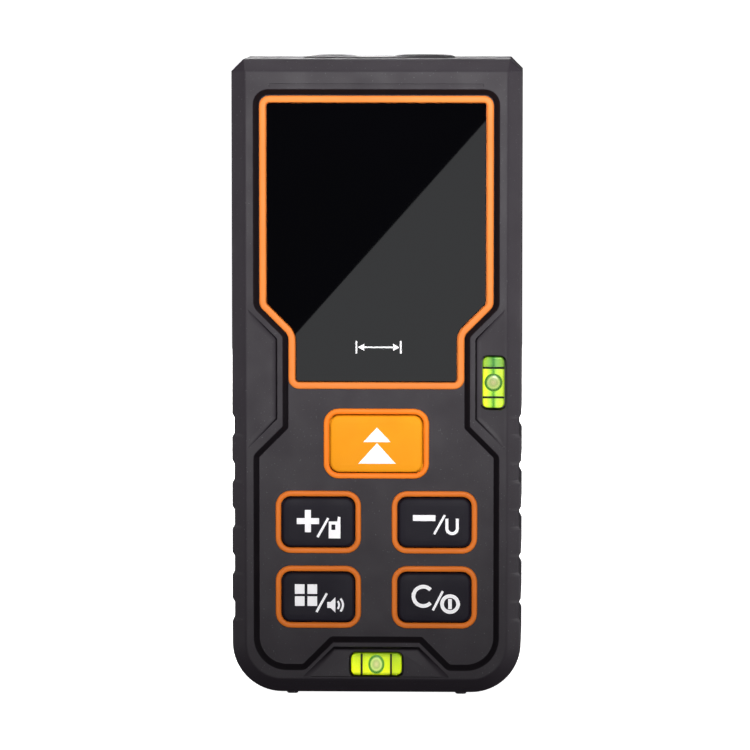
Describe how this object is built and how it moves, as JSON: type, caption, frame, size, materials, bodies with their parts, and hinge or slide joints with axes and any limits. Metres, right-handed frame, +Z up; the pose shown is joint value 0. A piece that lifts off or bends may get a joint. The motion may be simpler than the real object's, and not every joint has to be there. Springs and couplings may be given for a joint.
{
  "type": "laser distance meter",
  "caption": "Pocket laser distance meter: display window in a coloured frame, measure key and small keys, bubble levels, optics in the top end, battery bay behind a rear door.",
  "frame": {"origin": "under the middle of the base, on the plane of the base feet that the meter stands on and measures from", "axes": "+Z up along the body to the optics, the display and keys face -Y, +X to the right as the display is read"},
  "size_m": [0.051, 0.026, 0.1126],
  "materials": {
    "housing_plastic": "charcoal moulded plastic with a fine grain",
    "orange_plastic": "bright orange moulded plastic, satin",
    "ring_plastic": "deeper orange moulded plastic, satin",
    "orange_key": "orange key cap, satin, with white symbols",
    "black_key": "near-black key cap, satin, with white symbols",
    "smoked_window": "glossy black smoked acrylic",
    "clear_glass": "polished optical glass",
    "clear_acrylic": "clear acrylic tinted by the liquid",
    "level_liquid": "yellow-green level liquid",
    "bubble_air": "air bubble",
    "silicone": "grey silicone",
    "lcd_glass": "dark display glass",
    "white_plastic": "white diffuser",
    "flex_film": "amber polyimide film",
    "circuit_board": "green solder mask",
    "black_plastic": "black moulded plastic",
    "plated_steel": "nickel-plated spring steel",
    "screw_steel": "blackened steel",
    "brass": "turned brass",
    "cell_wrap": "plain printed sleeve on a steel can"
  },
  "bodies": {
    "housing": {"battery_cell_left": "cell_wrap", "battery_cell_right": "cell_wrap", "buzzer": "black_plastic", "clear_key_ring": "ring_plastic", "clear_switch": "black_plastic", "collimator_lens": "clear_glass", "contact_plate_lower": "plated_steel", "contact_plate_upper": "plated_steel", "contact_spring_lower": "plated_steel", "contact_spring_upper": "plated_steel", "display_flex": "flex_film", "emitter_window": "clear_glass", "front_cover": "housing_plastic", "horizontal_vial_body": "clear_acrylic", "horizontal_vial_fluid": "level_liquid", "horizontal_vial_plug": "black_plastic", "horizontal_vial_retainer": "black_plastic", "housing_screw_1": "screw_steel", "housing_screw_2": "screw_steel", "housing_screw_3": "screw_steel", "housing_screw_4": "screw_steel", "keypad_mat": "silicone", "laser_module": "brass", "lcd_backlight": "white_plastic", "lcd_panel": "lcd_glass", "main_board": "circuit_board", "measure_key_ring": "orange_plastic", "measure_switch": "black_plastic", "minus_key_ring": "ring_plastic", "minus_switch": "black_plastic", "mode_key_ring": "ring_plastic", "mode_switch": "black_plastic", "nose_cap": "housing_plastic", "optics_chassis": "black_plastic", "photodiode": "plated_steel", "plus_key_ring": "ring_plastic", "plus_switch": "black_plastic", "processor_chip": "black_plastic", "rear_cover": "housing_plastic", "receiver_lens": "clear_glass", "sensor_board": "circuit_board", "shield_can": "plated_steel", "vertical_vial_body": "clear_acrylic", "vertical_vial_fluid": "level_liquid", "vertical_vial_plug": "black_plastic", "vertical_vial_retainer": "black_plastic", "window_bezel": "orange_plastic", "window_lens": "smoked_window"},
    "measure_key": {"measure_key": "orange_key"},
    "plus_key": {"plus_key": "black_key"},
    "minus_key": {"minus_key": "black_key"},
    "mode_key": {"mode_key": "black_key"},
    "clear_key": {"clear_key": "black_key"},
    "battery_door": {"battery_door": "housing_plastic"},
    "vertical_bubble": {"vertical_vial_bubble": "bubble_air"},
    "horizontal_bubble": {"horizontal_vial_bubble": "bubble_air"}
  },
  "joints": [
    {"name": "measure_key_press", "type": "slide", "parent": "housing", "child": "measure_key", "axis": [0, 1, 0], "range_m": [0, 0.0007], "stiffness_N_per_m": 150, "springref_m": -0.002},
    {"name": "plus_key_press", "type": "slide", "parent": "housing", "child": "plus_key", "axis": [0, 1, 0], "range_m": [0, 0.0007], "stiffness_N_per_m": 150, "springref_m": -0.002},
    {"name": "minus_key_press", "type": "slide", "parent": "housing", "child": "minus_key", "axis": [0, 1, 0], "range_m": [0, 0.0007], "stiffness_N_per_m": 150, "springref_m": -0.002},
    {"name": "mode_key_press", "type": "slide", "parent": "housing", "child": "mode_key", "axis": [0, 1, 0], "range_m": [0, 0.0007], "stiffness_N_per_m": 150, "springref_m": -0.002},
    {"name": "clear_key_press", "type": "slide", "parent": "housing", "child": "clear_key", "axis": [0, 1, 0], "range_m": [0, 0.0007], "stiffness_N_per_m": 150, "springref_m": -0.002},
    {"name": "battery_door_tilt", "type": "hinge", "parent": "housing", "child": "battery_door", "pos_m": [0, 0.013, 0.00605], "axis": [-1, 0, 0], "range_deg": [0, 70]},
    {"name": "vertical_bubble_slide", "type": "slide", "parent": "housing", "child": "vertical_bubble", "axis": [0, 0, 1], "range_m": [-0.0021, 0.0021], "stiffness_N_per_m": 0.5},
    {"name": "horizontal_bubble_slide", "type": "slide", "parent": "housing", "child": "horizontal_bubble", "axis": [1, 0, 0], "range_m": [-0.0021, 0.0021], "stiffness_N_per_m": 0.5}
  ]
}
